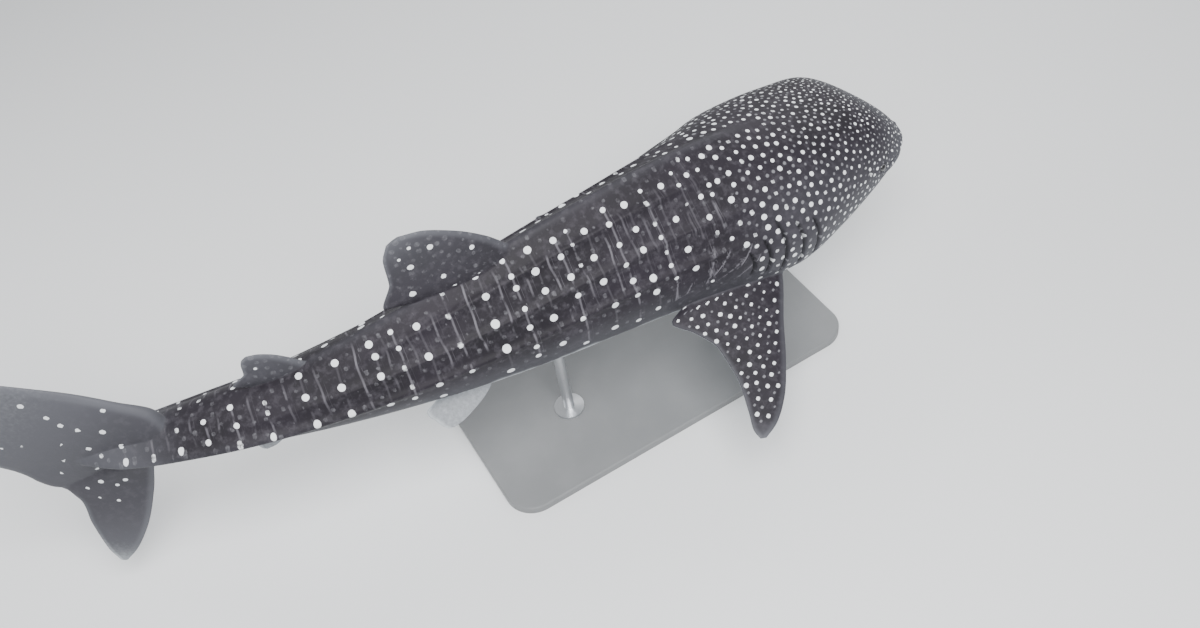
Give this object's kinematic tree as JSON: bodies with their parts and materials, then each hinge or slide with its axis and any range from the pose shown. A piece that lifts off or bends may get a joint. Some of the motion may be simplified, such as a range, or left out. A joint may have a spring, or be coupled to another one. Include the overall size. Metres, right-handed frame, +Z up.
{
  "type": "whale shark model on a stand",
  "caption": "Life-size still model of a young whale shark in a gentle swimming bend, spotted skin, held above a flat base by short rods.",
  "frame": {"origin": "centre of the underside of the stand's base, on the floor under the animal's centre of mass", "axes": "+X towards the head along the middle of the body, +Z up, +Y to the animal's left"},
  "size_m": [5.3078, 2.1666, 2.017],
  "materials": {
    "skin": "satin painted skin, dark blue-grey with pale spots and bars, white below",
    "eye": "gloss black with a grey ring",
    "stand_base": "fine textured grey powder coat",
    "stand_rod": "brushed"
  },
  "bodies": {
    "root": {"head": "skin", "lower_jaw": "skin", "trunk_front": "skin", "trunk_mid": "skin", "trunk_rear": "skin", "tail_front": "skin", "tail_stock": "skin", "first_dorsal_fin": "skin", "second_dorsal_fin": "skin", "anal_fin": "skin", "pectoral_fin_left": "skin", "pectoral_fin_right": "skin", "pelvic_fin_left": "skin", "pelvic_fin_right": "skin", "caudal_fin_upper": "skin", "caudal_fin_lower": "skin", "eye_left": "eye", "eye_right": "eye", "stand_base": "stand_base", "stand_rod_front": "stand_rod", "stand_rod_rear": "stand_rod"}
  },
  "joints": []
}
